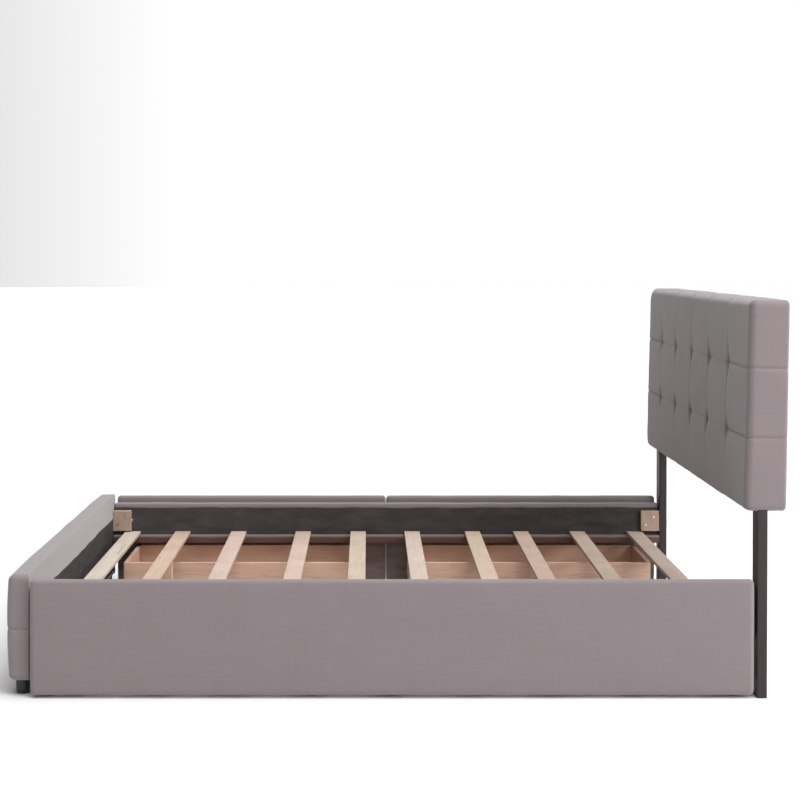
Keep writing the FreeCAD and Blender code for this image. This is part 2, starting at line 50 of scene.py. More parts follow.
# ---------------------------------------------------------------- node helpers
class Nodes:
    """A material's node tree, with short calls for the nodes that this scene uses."""

    def __init__(self, name):
        self.material = bpy.data.materials.new(name)
        self.material.use_nodes = True
        self.tree = self.material.node_tree
        self.shader = self.tree.nodes["Principled BSDF"]
        self.place = self.add("ShaderNodeTexCoord").outputs["Object"]

    def add(self, kind, **settings):
        node = self.tree.nodes.new(kind)
        for key, setting in settings.items():
            setattr(node, key, setting)
        return node

    def feed(self, socket, source):
        if isinstance(source, bpy.types.NodeSocket):
            self.tree.links.new(source, socket)
        elif socket.type == "RGBA":
            socket.default_value = (*source, 1)
        else:
            socket.default_value = source

    def math(self, operation, *values):
        node = self.add("ShaderNodeMath", operation=operation)
        for socket, source in zip(node.inputs, values):
            self.feed(socket, source)
        return node.outputs[0]

    def scaled(self, scale, turn=(0, 0, 0)):
        node = self.add("ShaderNodeMapping")
        self.feed(node.inputs["Vector"], self.place)
        node.inputs["Scale"].default_value = scale
        node.inputs["Rotation"].default_value = turn
        return node.outputs[0]

    def noise(self, vector, scale, detail=3.0, rough=0.5, distortion=0.0):
        node = self.add("ShaderNodeTexNoise")
        self.feed(node.inputs["Vector"], vector)
        node.inputs["Scale"].default_value = scale
        node.inputs["Detail"].default_value = detail
        node.inputs["Roughness"].default_value = rough
        node.inputs["Distortion"].default_value = distortion
        return node.outputs["Fac"]

    def ramp(self, factor, *stops):
        node = self.add("ShaderNodeValToRGB")
        self.feed(node.inputs[0], factor)
        elements = node.color_ramp.elements
        while len(elements) < len(stops):
            elements.new(0.5)
        for element, (position, colour) in zip(elements, stops):
            element.position = position
            element.color = (*colour, 1)
        return node.outputs[0]

    def mix(self, factor, first, second, blend="MIX"):
        node = self.add("ShaderNodeMix", data_type="RGBA", blend_type=blend)
        self.feed(node.inputs["Factor"], factor)
        colours = [socket for socket in node.inputs if socket.type == "RGBA"]
        for socket, source in zip(colours, (first, second)):
            self.feed(socket, source)
        return next(s for s in node.outputs if s.type == "RGBA")

    def bump(self, height, distance, strength=1.0):
        node = self.add("ShaderNodeBump")
        node.inputs["Strength"].default_value = strength
        node.inputs["Distance"].default_value = distance
        self.feed(node.inputs["Height"], height)
        self.feed(self.shader.inputs["Normal"], node.outputs[0])

    def finish(self, colour, roughness, **constants):
        self.feed(self.shader.inputs["Base Color"], colour)
        self.feed(self.shader.inputs["Roughness"], roughness)
        for name, constant in constants.items():
            self.shader.inputs[name.replace("_", " ")].default_value = constant
        return self.material


def linear(*srgb):
    """Linear colour of an 8-bit sRGB one."""
    return tuple(((c / 255 + 0.055) / 1.055) ** 2.4 if c > 10 else c / 255 / 12.92 for c in srgb)


def shade(colour, factor):
    return tuple(min(1.0, c * factor) for c in colour)


# ---------------------------------------------------------------- materials
def woven(name, colour, pitch=1.3 * MM, depth=0.25 * MM, mottle=0.08, sheen=0.45):
    """Plain weave in three planes, mixed by which way the surface faces, with slubs and soft mottling."""
    n = Nodes(name)
    split = n.add("ShaderNodeSeparateXYZ")
    n.feed(split.inputs[0], n.place)
    waves = [n.math("SINE", n.math("MULTIPLY", axis, 2 * math.pi / pitch)) for axis in split.outputs]
    facing = n.add("ShaderNodeSeparateXYZ")
    n.feed(facing.inputs[0], n.add("ShaderNodeNewGeometry").outputs["Normal"])
    shares = [n.math("POWER", n.math("ABSOLUTE", axis), 4.0) for axis in facing.outputs]
    planes = []
    for index in range(3):
        crossing = n.math("MULTIPLY", waves[(index + 1) % 3], waves[(index + 2) % 3])
        planes.append(n.math("MULTIPLY", crossing, shares[index]))
    weave = n.math("ADD", n.math("ADD", planes[0], planes[1]), planes[2])
    long_slub = n.noise(n.scaled((14, 14, 260)), 1.0, 4.0, 0.65)
    cross_slub = n.noise(n.scaled((260, 260, 14)), 1.0, 4.0, 0.65)
    cloud = n.noise(n.scaled((1, 1, 1)), 6.0, 3.0, 0.6)
    both_slubs = n.math("ADD", long_slub, cross_slub)
    slubs = n.math("MULTIPLY_ADD", both_slubs, 0.5, n.math("MULTIPLY", cloud, 0.35))
    dark, pale = shade(colour, 1 - mottle), shade(colour, 1 + mottle)
    colours = n.ramp(slubs, (0.42, dark), (0.68, colour), (0.92, pale))
    threads = n.math("MULTIPLY_ADD", weave, 0.06, 0.97)
    tinted = n.mix(1.0, colours, n.ramp(threads, (0.85, (0.82, 0.82, 0.83)), (1.0, (1, 1, 1))), "MULTIPLY")
    height = n.math("MULTIPLY_ADD", slubs, 0.8, n.math("MULTIPLY", weave, 0.5))
    n.bump(height, depth, 0.8)
    return n.finish(tinted, 0.92, Sheen_Weight=sheen, Sheen_Roughness=0.5, Specular_IOR_Level=0.25)


def timber(name, pale, dark, along="y", roughness=0.55, knots=0.0, seed=0.0, figure=1.0):
    """Sawn wood: growth lines stretched along the grain, pores, and a few knots."""
    n = Nodes(name)
    stretch = {"x": (1.2, 34, 34), "y": (34, 1.2, 34), "z": (34, 34, 1.2)}[along]
    fine = {"x": (12, 900, 900), "y": (900, 12, 900), "z": (900, 900, 12)}[along]
    moved = n.add("ShaderNodeMapping")
    n.feed(moved.inputs["Vector"], n.place)
    moved.inputs["Location"].default_value = (seed * 3.1, seed * 1.7, seed * 2.3)
    moved.inputs["Scale"].default_value = stretch
    lines = n.noise(moved.outputs[0], 1.0, 5.0, 0.6, 1.4 * figure)
    rings = n.math("FRACT", n.math("MULTIPLY", lines, 9.0 * figure))
    rings = n.math("POWER", rings, 1.6)
    pores = n.noise(n.scaled(fine), 1.0, 2.0, 0.6)
    cloud = n.noise(n.scaled((3, 3, 3)), 2.0, 2.0, 0.5)
    base = n.ramp(rings, (0.0, pale), (0.75, shade(pale, 0.93)), (1.0, dark))
    tone = n.ramp(cloud, (0.3, (0.90, 0.88, 0.86)), (0.7, (1.05, 1.04, 1.03)))
    colour = n.mix(1.0, base, tone, "MULTIPLY")
    pore_tint = n.ramp(pores, (0.32, (0.80, 0.77, 0.74)), (0.46, (1, 1, 1)))
    colour = n.mix(0.8, colour, pore_tint, "MULTIPLY")
    if knots:
        cells = n.add("ShaderNodeTexVoronoi")
        n.feed(cells.inputs["Vector"], moved.outputs[0])
        cells.inputs["Scale"].default_value = 0.42
        knot = n.math("LESS_THAN", cells.outputs["Distance"], 0.13)
        colour = n.mix(n.math("MULTIPLY", knot, knots), colour, shade(dark, 0.45))
    n.bump(n.math("MULTIPLY_ADD", rings, 0.4, pores), 0.18 * MM, 0.7)
    return n.finish(colour, roughness, Specular_IOR_Level=0.3)


def felt(name, colour, wave=1.0):
    """Thin non-woven lining: fibres at every angle and a dimpled bond pattern."""
    n = Nodes(name)
    fibres = n.noise(n.scaled((1, 1, 1)), 420.0, 3.0, 0.7)
    folds = n.noise(n.scaled((1.2, 1.2, 3.5)), 9.0 * wave, 3.0, 0.5, 0.6)
    dimples = n.add("ShaderNodeTexVoronoi")
    n.feed(dimples.inputs["Vector"], n.place)
    dimples.inputs["Scale"].default_value = 480
    tone = n.math("MULTIPLY_ADD", folds, 0.8, n.math("MULTIPLY", fibres, 0.3))
    colours = n.ramp(tone, (0.3, shade(colour, 0.75)), (0.8, shade(colour, 1.35)))
    height = n.math("MULTIPLY_ADD", folds, 6.0, n.math("ADD", fibres, dimples.outputs["Distance"]))
    n.bump(height, 0.35 * MM, 0.7)
    return n.finish(colours, 0.95, Specular_IOR_Level=0.08)


def stained(name, colour, along, roughness=0.42, highlight_top=None):
    """Dark stain over wood whose grain still shows.

    The last argument is the (height, colour) of a painted highlight: the upper edge is painted paler,
    standing for the light on the top face.
    """
    n = Nodes(name)
    fine = {"x": (8, 420, 420), "y": (420, 8, 420), "z": (420, 420, 8)}[along]
    grain = n.noise(n.scaled(fine), 1.0, 4.0, 0.65)
    cloud = n.noise(n.scaled((6, 6, 6)), 2.0, 2.0, 0.5)
    colours = n.ramp(grain, (0.3, shade(colour, 0.72)), (0.55, colour), (0.8, shade(colour, 1.35)))
    # Painted highlight: above the given height the colour is mixed towards a paler one, standing for the
    # light on the top face.
    if highlight_top:
        split = n.add("ShaderNodeSeparateXYZ")
        n.feed(split.inputs[0], n.place)
        edge = n.math("MULTIPLY_ADD", cloud, 0.004, split.outputs[2])
        highlight_band = n.math("GREATER_THAN", edge, highlight_top[0])
        colours = n.mix(n.math("MULTIPLY", highlight_band, 0.85), colours, highlight_top[1])
    rough = n.math("MULTIPLY_ADD", cloud, 0.25, roughness - 0.1)
    n.bump(grain, 0.12 * MM, 0.5)
    return n.finish(colours, rough, Specular_IOR_Level=0.4)


def moulded(name, colour, roughness=0.5):
    """Moulded plastic with a fine spark texture and a little scuffing."""
    n = Nodes(name)
    grit = n.noise(n.scaled((1, 1, 1)), 1500.0, 2.0, 0.6)
    scuff = n.noise(n.scaled((1, 1, 1)), 45.0, 4.0, 0.7)
    colours = n.ramp(scuff, (0.35, colour), (0.75, shade(colour, 1.5)))
    n.bump(grit, 0.05 * MM, 0.6)
    return n.finish(colours, n.math("MULTIPLY_ADD", scuff, 0.2, roughness - 0.1))


def plated(name, colour):
    """Zinc plating, with the faint cloudiness of passivated steel."""
    n = Nodes(name)
    cloud = n.noise(n.scaled((1, 1, 1)), 120.0, 3.0, 0.6)
    colours = n.ramp(cloud, (0.3, shade(colour, 0.85)), (0.7, shade(colour, 1.1)))
    n.bump(cloud, 0.03 * MM, 0.5)
    return n.finish(colours, n.math("MULTIPLY_ADD", cloud, 0.25, 0.28), Metallic=1.0)


UPHOLSTERY = linear(123, 113, 115)
FABRIC = woven("upholstery_weave", UPHOLSTERY)
LINING = felt("black_lining", (0.053, 0.047, 0.048))
# The drawer fronts' lining is the same black cloth as the other linings, painted paler and warmer here:
# painted light for the light that falls on it.
FRONT_LINING_PAINTED_LIGHT = felt("drawer_front_lining_painted_light", (0.19, 0.155, 0.14))
BACK_CLOTH = felt("back_dust_cloth", (0.022, 0.022, 0.022), 0.6)
LEG = stained("dark_leg_finish", linear(43, 34, 36), "z", 0.5)
# The ledges' upper edge is painted paler above 0.193 m: a painted highlight for their lit top face.
LEDGE = stained("ledge_stain", linear(86, 60, 53), "x", 0.6, (0.193, linear(118, 108, 103)))
BEARER = stained("bearer_stain", linear(86, 60, 53), "x", 0.6)
BLACK_PLASTIC = moulded("black_plastic", (0.012, 0.012, 0.012), 0.45)
WHEEL_PLASTIC = moulded("wheel_plastic", (0.03, 0.03, 0.032), 0.5)
ZINC = plated("zinc_plate", (0.62, 0.62, 0.60))
BOX_PALE = linear(204, 172, 152)
BOX_DARK = linear(184, 148, 128)
BOX_WOOD_X = timber("drawer_board_long", BOX_PALE, BOX_DARK, "x", 0.5, 0.0, 0.4, 0.6)
BOX_WOOD_Y = timber("drawer_board_side", BOX_PALE, BOX_DARK, "y", 0.5, 0.0, 1.9, 0.6)
BLOCK_WOOD = timber("block_wood", linear(166, 146, 130), linear(128, 106, 90), "z", 0.8, 0.5, 2.7)
POST_WOOD = timber("post_wood", linear(214, 182, 156), linear(170, 130, 102), "z", 0.6, 0.0, 5.1)

SLAT_SHADE = 0.70
SLAT_LATEWOOD = 0.74
# Each slat is its own board: the pale side of its colour, from foot to head.
SLAT_TINTS = ((213, 202, 190), (217, 189, 170), (222, 197, 186), (220, 196, 180), (216, 199, 179),
              (221, 203, 190), (220, 199, 178), (219, 192, 174), (220, 198, 179), (214, 194, 179))


# ---------------------------------------------------------------- mesh helpers
ROUND_STOPS = (0, 0.03, 0.11, 0.23, 0.38, 0.56, 0.78)
SEAM_STOPS = (-0.007, -0.004, -0.002, 0, 0.002, 0.004, 0.007)
SEAM_CLEARANCE = 0.010
CORNER_REACH = 0.075


def stops(low, high, radii, cell, seams=()):
    """Grid lines along one side of a box: close together over its two roundings and on its seams."""
    inner_low, inner_high = low + radii[0], high - radii[1]
    count = max(1, round((inner_high - inner_low) / cell))
    middle = [inner_low + (inner_high - inner_low) * i / count for i in range(count + 1)]
    for seam in seams:
        middle = [m for m in middle if abs(m - seam) > SEAM_CLEARANCE] + [seam + step for step in SEAM_STOPS]
    rims = [low + radii[0] * share for share in ROUND_STOPS if radii[0] > 0]
    rims += [high - radii[1] * share for share in ROUND_STOPS if radii[1] > 0]
    return sorted(set(round(line, 6) for line in middle + rims))


def grid_box(lines):
    """A closed box of quads on the given grid lines, as vertex positions and faces."""
    index = {}
    points = []
    faces = []

    def vertex(key):
        if key not in index:
            index[key] = len(points)
            points.append([lines[a][key[a]] for a in range(3)])
        return index[key]

    for axis in range(3):
        u, v = (axis + 1) % 3, (axis + 2) % 3
        for end in (0, len(lines[axis]) - 1):
            for i in range(len(lines[u]) - 1):
                for j in range(len(lines[v]) - 1):
                    corners = []
                    for di, dj in ((0, 0), (1, 0), (1, 1), (0, 1)):
                        key = [0, 0, 0]
                        key[axis], key[u], key[v] = end, i + di, j + dj
                        corners.append(vertex(tuple(key)))
                    faces.append(corners if end else corners[::-1])
    return np.array(points), faces


def rounded(points, low, high, radius):
    """Pulls a box's points onto the box with rounded edges."""
    core = np.clip(points, np.array(low) + radius, np.array(high) - radius)
    off = points - core
    length = np.linalg.norm(off, axis=1)
    return core + off * (radius / np.maximum(length, 1e-9))[:, None]


def roll_edges(points, low, high, fore, aft, corners, below=1.0):
    """Rounds a box that faces along X: its fore and aft edges, then its four corners seen along X.

    The corners at the near end have the first radius given and those at the far end the second.
    The fore edge's rounding at the bottom is only the share below of the one elsewhere.
    """
    out = points.copy()
    x = points[:, 0]
    centre = [(low[a] + high[a]) / 2 for a in range(3)]
    half = [(high[a] - low[a]) / 2 for a in range(3)]
    y, z = points[:, 1] - centre[1], points[:, 2] - centre[2]
    ahead = np.clip(low[0] + fore - x, 0, fore)
    behind = np.clip(x - (high[0] - aft), 0, aft)
    front_inset = fore - np.sqrt(np.maximum(fore ** 2 - ahead ** 2, 0))
    back_inset = aft - np.sqrt(np.maximum(aft ** 2 - behind ** 2, 0))
    reach = min(CORNER_REACH, half[2] * 0.9)
    inset_z = front_inset * np.where(z < 0, below, 1.0) + back_inset
    inset_y = front_inset + back_inset
    y = y - np.sign(y) * inset_y * smooth_step((np.abs(y) - (half[1] - reach)) / reach)
    z = z - np.sign(z) * inset_z * smooth_step((np.abs(z) - (half[2] - reach)) / reach)
    corner = np.where(y < 0, corners[0], corners[1])
    over_y = np.abs(y) - (half[1] - corner)
    over_z = np.abs(z) - (half[2] - corner)
    at_corner = (over_y > 0) & (over_z > 0)
    scale = np.maximum(over_y, over_z) / np.maximum(np.hypot(over_y, over_z), 1e-9)
    out[:, 1] = centre[1] + np.where(at_corner, np.sign(y) * (half[1] - corner + over_y * scale), y)
    out[:, 2] = centre[2] + np.where(at_corner, np.sign(z) * (half[2] - corner + over_z * scale), z)
    return out


def mesh_object(name, points, faces, material, smooth=True):
    mesh = bpy.data.meshes.new(name)
    mesh.from_pydata([tuple(p) for p in points], [], faces)
    mesh.update()
    mesh.materials.append(material)
    if smooth:
        mesh.polygons.foreach_set("use_smooth", [True] * len(mesh.polygons))
    thing = bpy.data.objects.new(name, mesh)
    bpy.context.scene.collection.objects.link(thing)
    return thing


def soft_box(name, low, high, radius, cell, material, shape=None):
    """A rounded box whose surface a function may move: shape(points) returns the new points."""
    cells = cell if hasattr(cell, "__len__") else (cell, cell, cell)
    lines = [stops(low[a], high[a], (radius, radius), cells[a]) for a in range(3)]
    points, faces = grid_box(lines)
    points = rounded(points, low, high, radius)
    if shape:
        points = shape(points)
    return mesh_object(name, points, faces, material)


def put(piece, body, slot, *nodes):
    """Rides a piece on its body in place of the CAD nodes that it stands for; slot is not used."""
    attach(piece, body)
    if nodes:
        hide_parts(*nodes)
    return piece


def solids(node):
    """The lowest and highest corner of each separate solid in a CAD node, in order along X and then Y."""
    mesh = bmesh.new()
    mesh.from_mesh(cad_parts[node].data)
    bmesh.ops.remove_doubles(mesh, verts=mesh.verts, dist=1e-5)
    left = set(mesh.verts)
    found = []
    while left:
        group = {left.pop()}
        front = list(group)
        while front:
            for edge in front.pop().link_edges:
                for vert in edge.verts:
                    if vert in left:
                        left.discard(vert)
                        group.add(vert)
                        front.append(vert)
        places = np.array([v.co for v in group])
        found.append((Vector(places.min(0)), Vector(places.max(0))))
    mesh.free()
    return sorted(found, key=lambda pair: (round(pair[0].x, 3), pair[0].y))


def wobble(points, size, scale, seed):
    """Smooth random offsets of up to about size, one per point; scale is their frequency per metre."""
    shift = Vector((seed * 7.13, seed * 3.71, seed * 5.37))
    return np.array([noise.noise(Vector(p) * scale + shift) for p in points]) * size


def smooth_step(x):
    x = np.clip(x, 0, 1)
    return x * x * (3 - 2 * x)


def mark(distance, depth, reach, sharpness=1.0):
    """How deep a sewn mark is at some distance from its line or its tuft."""
    return depth * np.exp(-(distance / reach) ** sharpness)


# ---------------------------------------------------------------- headboard
LINING_EDGE = 0.0004
HEAD_LEAN = math.radians(0.9)
HEAD_THICK = 0.120
HEAD_HIGH = 0.604
HEAD_WIDE = 1.656
HEAD_CORNERS = (0.020, 0.060)
HEAD_FRONT_EDGE = 0.022
HEAD_BACK_EDGE = 0.009
PILLOW_SHARE = 0.065
TUFT_COLUMNS = [HEAD_WIDE / 6 * i for i in (-2, -1, 0, 1, 2)]
TUFT_ROWS = [0.210, 0.408]
TUFTS = [(c, r) for c in TUFT_COLUMNS for r in TUFT_ROWS]

# Marks are (depth, reach, sharpness), as mark() takes them.
TUFT_START = (0.008, 0.022)
TUFT_PINCH = (0.015, 0.012, 1.2)
TUFT_CREASE = (0.010, 0.018)
CREASE_LINE = (1.0, 0.004, 1.3)
SEAM_LINE = (1.0, 0.0035, 1.4)
COLUMN_SEAM = (0.0004, 0.004, 1.4)
SIDE_SEAM = (0.0032, 0.0035, 1.4)
SIDE_DIP = (0.0012, 0.022)
TOP_NOTCH = (0.0055, 0.008, 1.2)

CLOTH_CELL = 0.009
CLOTH_MARGIN = 0.02
CLOTH_PINNED = 0.008
CLOTH_FRAMES = 20
CLOTH_LIMITS = (-0.006, 0.0028)
DUST_CLOTH_MARGIN = 0.024
LEG_EDGE = 0.002
LEG_CELLS = (0.02, 0.02, 0.05)


def head_frame():
    """Takes points drawn upright from the headboard's lower front corner to the leaning headboard."""
    low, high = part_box("headboard_cover")
    foot_x = high.x - HEAD_THICK * math.cos(HEAD_LEAN) - HEAD_HIGH * math.sin(HEAD_LEAN)
    foot_z = low.z + HEAD_THICK * math.sin(HEAD_LEAN)
    return Matrix.Translation((foot_x, 0, foot_z)) @ Matrix.Rotation(HEAD_LEAN, 4, "Y")


def pressed_cloth():
    """Simulates the headboard's front cloth, pressed out by its foam and held at its border and tufts.

    Returns how far the cloth stands forward, on a grid of Y and Z.
    """
    half = HEAD_WIDE / 2 - CLOTH_MARGIN
    low, high = CLOTH_MARGIN, HEAD_HIGH - CLOTH_MARGIN
    y_lines = np.linspace(-half, half, round(2 * half / CLOTH_CELL) + 1)
    z_lines = np.linspace(low, high, round((HEAD_HIGH - 2 * CLOTH_MARGIN) / CLOTH_CELL) + 1)
    grid_y, grid_z = np.meshgrid(y_lines, z_lines, indexing="ij")
    tuft = np.min([np.hypot(grid_y - c, grid_z - r) for c, r in TUFTS], axis=0)
    start = mark(tuft, *TUFT_START)
    wide = len(z_lines)
    points = np.column_stack((start.ravel(), grid_y.ravel(), grid_z.ravel()))
    faces = [[i * wide + j, i * wide + j + 1, (i + 1) * wide + j + 1, (i + 1) * wide + j]
             for i in range(len(y_lines) - 1) for j in range(wide - 1)]
    cloth = mesh_object("headboard_cloth_run", points, faces, FABRIC)
    held = cloth.vertex_groups.new(name="held")
    border = (np.abs(grid_y) > half - MM) | (grid_z < low + MM) | (grid_z > high - MM)
    pinned = (border | (tuft < CLOTH_PINNED)).ravel()
    held.add([int(i) for i in np.flatnonzero(pinned)], 1.0, "REPLACE")
    modifier = cloth.modifiers.new("press", "CLOTH")
    settings = modifier.settings
    settings.quality = 5
    settings.mass = 0.3
    settings.use_pressure = True
    settings.uniform_pressure_force = 4.0
    settings.shrink_min = -0.02
    settings.tension_stiffness = 20
    settings.compression_stiffness = 20
    settings.bending_stiffness = 0.8
    settings.effector_weights.gravity = 0
    settings.vertex_group_mass = "held"
    modifier.point_cache.frame_start = 1
    modifier.point_cache.frame_end = CLOTH_FRAMES
    for step in range(1, CLOTH_FRAMES + 1):
        bpy.context.scene.frame_set(step)
    done = cloth.evaluated_get(bpy.context.evaluated_depsgraph_get())
    places = np.empty(len(points) * 3)
    done.data.vertices.foreach_get("co", places)
    forward = -places.reshape(-1, 3)[:, 0].reshape(grid_y.shape)
    bpy.data.objects.remove(cloth)
    bpy.context.scene.frame_set(1)
    return y_lines, z_lines, np.clip(PILLOW_SHARE * forward, *CLOTH_LIMITS)


def sampled(field, y, z):
    """Values of a simulated grid at other points, by bilinear reading."""
    y_lines, z_lines, values = field
    at_y = np.clip((y - y_lines[0]) / (y_lines[1] - y_lines[0]), 0, len(y_lines) - 1.001)
    at_z = np.clip((z - z_lines[0]) / (z_lines[1] - z_lines[0]), 0, len(z_lines) - 1.001)
    i, j = at_y.astype(int), at_z.astype(int)
    u, v = at_y - i, at_z - j
    near = values[i, j] * (1 - v) + values[i, j + 1] * v
    far = values[i + 1, j] * (1 - v) + values[i + 1, j + 1] * v
    return near * (1 - u) + far * u


def head_padding(points, field):
    """The pressed front, its tufts with their creases, and the seams that run on round the sides."""
    out = points.copy()
    x, y, z = points.T
    half_y = HEAD_WIDE / 2
    rim = np.minimum(half_y - np.abs(y), HEAD_HIGH / 2 - np.abs(z - HEAD_HIGH / 2))
    front = smooth_step((0.050 - x) / 0.045)
    row_gap = np.min([np.abs(z - r) for r in TUFT_ROWS], axis=0)
    column_gap = np.min([np.abs(y - c) for c in TUFT_COLUMNS], axis=0)
    tuft = np.min([np.hypot(y - c, z - r) for c, r in TUFTS], axis=0)
    near_tuft = np.exp(-tuft / 0.045)
    past_tufts = smooth_step((np.abs(y) - TUFT_COLUMNS[-1]) / 0.05)

    pinch = mark(tuft, *TUFT_PINCH)
    crease = mark(tuft, *TUFT_CREASE) * mark(column_gap, *CREASE_LINE)
    row_seam = (0.0006 + 0.0026 * past_tufts + 0.002 * near_tuft) * mark(row_gap, *SEAM_LINE)
    column_seam = mark(column_gap, *COLUMN_SEAM)
    pulls = wobble(np.column_stack((x * 0, y * 1.3, z * 0.25)), 0.0040, 48.0, 2) * np.exp(-tuft / 0.050)
    slack = wobble(np.column_stack((x, y * 0.6, z)), 0.0016, 11.0, 1)
    out[:, 0] += front * (pinch + crease + row_seam + column_seam - pulls - slack - sampled(field, y, z))
    out[:, 0] += front * (0.005 * z / HEAD_HIGH - 0.001)

    side = smooth_step((0.030 - rim) / 0.028) * (np.abs(y) > half_y - 0.031)
    side_seam = mark(row_gap, *SIDE_SEAM) + mark(row_gap, *SIDE_DIP)
    side_slack = np.abs(wobble(np.column_stack((x * 0.6, y * 0, z)), 0.0022, 8.0, 3))
    out[:, 1] -= np.sign(y) * side * (side_seam + side_slack)

    lid = smooth_step((0.030 - (HEAD_HIGH / 2 - np.abs(z - HEAD_HIGH / 2))) / 0.028)
    notch = mark(column_gap, *TOP_NOTCH) * smooth_step((0.085 - x) / 0.07)
    lid_slack = np.abs(wobble(np.column_stack((x, y, z * 0)), 0.0034, 9.0, 4))
    lid_slack = lid_slack + np.abs(wobble(np.column_stack((x * 0.3, y, z * 0)), 0.0016, 34.0, 5))
    out[:, 2] -= np.sign(z - HEAD_HIGH / 2) * lid * (notch + lid_slack)
    return out


def make_headboard():
    half = HEAD_WIDE / 2
    lean = head_frame()
    cell = 0.007
    edges = (HEAD_FRONT_EDGE, HEAD_FRONT_EDGE)
    lines = [stops(0, HEAD_THICK - 0.002, (HEAD_FRONT_EDGE, HEAD_BACK_EDGE), 0.010),
             stops(-half, half, edges, cell, TUFT_COLUMNS),
             stops(0, HEAD_HIGH, edges, cell, TUFT_ROWS)]
    points, faces = grid_box(lines)
    box_low, box_high = (0, -half, 0), (HEAD_THICK - 0.002, half, HEAD_HIGH)
    points = roll_edges(points, box_low, box_high, HEAD_FRONT_EDGE, HEAD_BACK_EDGE, HEAD_CORNERS, 0.6)
    points = head_padding(points, pressed_cloth())
    cover = mesh_object("headboard_upholstery", points, faces, FABRIC)
    cover.data.transform(lean)
    put(cover, ROOT, "upholstery", "headboard_cover", "headboard_panel", "headboard_frame")

    margin = DUST_CLOTH_MARGIN
    cloth_low = (HEAD_THICK - 0.0025, -half + margin, margin)
    cloth_high = (HEAD_THICK, half - margin, HEAD_HIGH - margin)

    def sag(points):
        out = points.copy()
        from_end = half - margin - np.abs(points[:, 1])
        from_top = HEAD_HIGH / 2 - margin - np.abs(points[:, 2] - HEAD_HIGH / 2)
        rim = np.minimum(from_end, from_top)
        slack = smooth_step(rim / 0.05)
        out[:, 0] -= 0.0008 * slack * (1 + wobble(points, 1.0, 7.0, 8))
        out[:, 2] += wobble(points, 0.002, 30.0, 9) * (rim < 0.01)
        return out

    cloth = soft_box("headboard_dust_cloth", cloth_low, cloth_high, LINING_EDGE, (0.002, 0.02, 0.02),
                     BACK_CLOTH, sag)
    cloth.data.transform(lean)
    put(cloth, ROOT, "lining", "headboard_back_cover")

    for side in ("near", "far"):
        node = f"headboard_leg_{side}"
        low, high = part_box(node)
        leg = soft_box(f"{node}_post", low, high, LEG_EDGE, LEG_CELLS, LEG)
        put(leg, ROOT, "leg_finish", node)


# ---------------------------------------------------------------- footboard
FOOT_OUTER_EDGE = 0.020
FOOT_INNER_EDGE = 0.005
FOOT_CORNERS = (0.014, 0.014)
FOOT_SEAM_HEIGHT = 0.148
FOOT_BULGE = 0.006
FOOT_CROWN = 0.005
FOOT_GROOVE = (0.0024, 0.0035, 1.4)
FOOT_DIP = (0.0012, 0.02)


def make_footboard():
    low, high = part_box("footboard_cover")
    middle = (low + high) / 2
    seam = low.z + FOOT_SEAM_HEIGHT

    inner = high.x - 0.001
    lines = [stops(low.x, inner, (FOOT_OUTER_EDGE, FOOT_INNER_EDGE), 0.012),
             stops(low.y, high.y, (FOOT_OUTER_EDGE, FOOT_OUTER_EDGE), 0.012),
             stops(low.z, high.z, (FOOT_OUTER_EDGE, FOOT_OUTER_EDGE), 0.010, (seam,))]
    points, faces = grid_box(lines)
    points = roll_edges(points, low, (inner, high.y, high.z), FOOT_OUTER_EDGE, FOOT_INNER_EDGE, FOOT_CORNERS)
    out = points.copy()
    x, y, z = points.T
    along = np.abs(y) / high.y
    rise = smooth_step((z - (high.z - 0.03)) / 0.03)
    out[:, 2] += rise * (FOOT_CROWN * (1 - along ** 8) + wobble(points, 0.0014, 7.0, 11))
    out[:, 2] -= rise * 0.0016 * np.abs(wobble(points * np.array((0.2, 1, 0)), 1.0, 30.0, 14))
    outer = smooth_step((middle.x - x) / 0.02)
    level = (z - middle.z) / (high.z - low.z) * 2
    groove = mark(np.abs(z - seam), *FOOT_GROOVE) + mark(np.abs(z - seam), *FOOT_DIP)
    out[:, 0] += outer * (groove - FOOT_BULGE * (1 - level ** 2) + wobble(points, 0.0012, 6.0, 12))
    plump = smooth_step((x - middle.x) / 0.02) * smooth_step((np.abs(y) - (high.y - 0.025)) / 0.015)
    out[:, 0] += 0.002 * plump
    end = smooth_step((np.abs(y) - (high.y - 0.006)) / 0.005)
    out[:, 1] -= np.sign(y) * end * (groove + np.abs(wobble(points, 0.0014, 12.0, 13)))
    cover = mesh_object("footboard_upholstery", out, faces, FABRIC)
    put(cover, ROOT, "upholstery", "footboard_cover", "footboard_frame")
    lining_low, lining_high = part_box("footboard_lining")
    make_lining("footboard_inner_lining", lining_low, lining_high, 0, ROOT, 31, "footboard_lining",
                lowered=0.002, wave=2.2)

    for index, (foot_low, foot_high) in enumerate(solids("feet")):
        centre = (foot_low + foot_high) / 2
        foot = lathe(f"round_foot_{index + 1}", foot_profile(foot_low, foot_high), BLACK_PLASTIC)
        foot.data.transform(Matrix.Translation((centre.x, centre.y, 0)))
        put(foot, ROOT, "foot_plastic", "feet")


def foot_profile(low, high):
    """A tapered foot's outline, eased at the floor and at its top, as (radius, height)."""
    radius = (high.x - low.x) / 2
    floor_side = [(0.0, 0.0), (radius * 0.72, 0.0), (radius * 0.86, 0.0015), (radius * 0.92, 0.005)]
    top_side = [(radius, high.z - 0.004), (radius * 0.98, high.z - 0.0008), (radius * 0.9, high.z)]
    return floor_side + top_side + [(0.0, high.z)]


